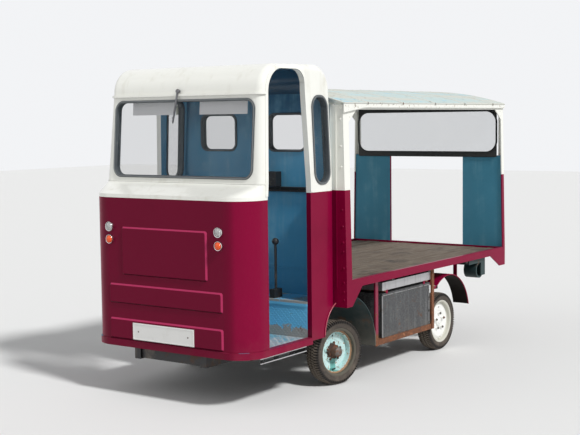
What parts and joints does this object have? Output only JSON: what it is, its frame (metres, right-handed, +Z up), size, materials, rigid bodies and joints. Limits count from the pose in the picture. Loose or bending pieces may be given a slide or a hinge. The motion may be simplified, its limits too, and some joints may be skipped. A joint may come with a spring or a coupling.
{
  "type": "four-wheeled electric delivery float",
  "caption": "Electric delivery float with a hollow open-sided cab, roofed open load deck, slung battery boxes, steered front wheels and freely turning wheels.",
  "frame": {"origin": "on the ground under the middle of the overall box", "axes": "+X the vehicle's left side, -Y the front, +Z up"},
  "size_m": [1.49, 3.584, 2.1872],
  "materials": {
    "crimson": "gloss",
    "cream": "satin",
    "interior_blue": "worn gloss",
    "tread_plate": "worn",
    "chassis_black": "satin",
    "teal": "dusty",
    "rust": "rough",
    "battery_grey": "dusty",
    "aluminium": "satin",
    "bare_steel": "worn",
    "wheel_turquoise": "rusty",
    "wheel_cream": "satin",
    "tyre": "dusty",
    "rubber": "matt",
    "glass": "clear",
    "curtain_black": "matt",
    "clear_vinyl": "clear",
    "lamp_clear": "gloss",
    "lamp_amber": "gloss",
    "lamp_red": "gloss",
    "plate_white": "satin",
    "roof_blue": "weathered",
    "deck_grey": "worn",
    "vinyl": "worn",
    "black_plastic": "satin"
  },
  "bodies": {
    "root": {"amber_lamps": "lamp_amber", "battery_boxes": "battery_grey", "battery_cradles": "rust", "battery_trays": "aluminium", "bulkhead_fittings": "black_plastic", "cab_bottom_rail": "crimson", "cab_bulkhead": "interior_blue", "cab_floor": "tread_plate", "cab_front_panel": "crimson", "cab_glass": "glass", "cab_mouldings": "cream", "cab_platform": "interior_blue", "cab_quarters_lower": "crimson", "cab_quarters_upper": "cream", "cab_roof": "cream", "cab_windscreen_panel": "cream", "chassis_frame": "chassis_black", "deck_floor": "deck_grey", "deck_posts": "crimson", "deck_rails": "crimson", "drive_motor": "teal", "frame_crossmembers": "chassis_black", "front_axle_beam": "chassis_black", "front_plate": "plate_white", "front_wheelhouses": "teal", "hand_lever_and_pedals": "chassis_black", "leaf_springs": "bare_steel", "rear_axle": "chassis_black", "rear_curtain": "curtain_black", "rear_lamps": "lamp_red", "rear_mudguards": "crimson", "rear_panels": "crimson", "rear_window": "clear_vinyl", "roof_fascia": "cream", "roof_frame": "cream", "roof_sheet": "roof_blue", "seat_base": "interior_blue", "seat_cushions": "vinyl", "side_lamps": "lamp_clear", "sill_strips": "aluminium", "steering_column": "chassis_black", "sun_visors": "plate_white", "tail_socket": "teal", "window_rubbers": "rubber", "wiper": "bare_steel"},
    "knuckle_left": {"knuckle_left": "rust"},
    "knuckle_right": {"knuckle_right": "rust"},
    "track_rod": {"track_rod": "chassis_black"},
    "steering_wheel": {"steering_wheel": "black_plastic"},
    "wheel_front_left": {"rim_front_left": "wheel_turquoise", "tyre_front_left": "tyre"},
    "wheel_front_right": {"rim_front_right": "wheel_turquoise", "tyre_front_right": "tyre"},
    "wheel_rear_left": {"rim_rear_left": "wheel_cream", "tyre_rear_left": "tyre"},
    "wheel_rear_right": {"rim_rear_right": "wheel_cream", "tyre_rear_right": "tyre"}
  },
  "joints": [
    {"name": "steer_left", "type": "hinge", "parent": "root", "child": "knuckle_left", "pos_m": [0.533, -0.687, 0.225], "axis": [0, 0, 1], "range_deg": [-22.5, 47.5]},
    {"name": "steer_right", "type": "hinge", "parent": "root", "child": "knuckle_right", "pos_m": [-0.533, -0.687, 0.225], "axis": [0, 0, 1], "range_deg": [-22.5, 47.5]},
    {"name": "track_rod_turn", "type": "hinge", "parent": "knuckle_left", "child": "track_rod", "pos_m": [0.55897, -0.56984, 0.1604], "axis": [0, 0, 1], "range_deg": [-47.5, 22.5]},
    {"name": "steering_wheel_turn", "type": "hinge", "parent": "root", "child": "steering_wheel", "pos_m": [-0.3, -1.358, 1.15], "axis": [0, 0.309, 0.9511], "range_deg": [-225, 475]},
    {"name": "spin_front_left", "type": "hinge", "parent": "knuckle_left", "child": "wheel_front_left", "pos_m": [0.533, -0.687, 0.225], "axis": [0.9763, -0.2164, 0], "continuous": true},
    {"name": "spin_front_right", "type": "hinge", "parent": "knuckle_right", "child": "wheel_front_right", "pos_m": [-0.533, -0.687, 0.225], "axis": [0.9763, -0.2164, 0], "continuous": true},
    {"name": "spin_rear_left", "type": "hinge", "parent": "root", "child": "wheel_rear_left", "pos_m": [0.617, 0.765, 0.225], "axis": [1, 0, 0], "continuous": true},
    {"name": "spin_rear_right", "type": "hinge", "parent": "root", "child": "wheel_rear_right", "pos_m": [-0.617, 0.765, 0.225], "axis": [1, 0, 0], "continuous": true}
  ],
  "couplings": [
    {"joint": "steer_right", "follows": "steer_left", "ratio": 1},
    {"joint": "track_rod_turn", "follows": "steer_left", "ratio": -1},
    {"joint": "steering_wheel_turn", "follows": "steer_left", "ratio": 9}
  ]
}
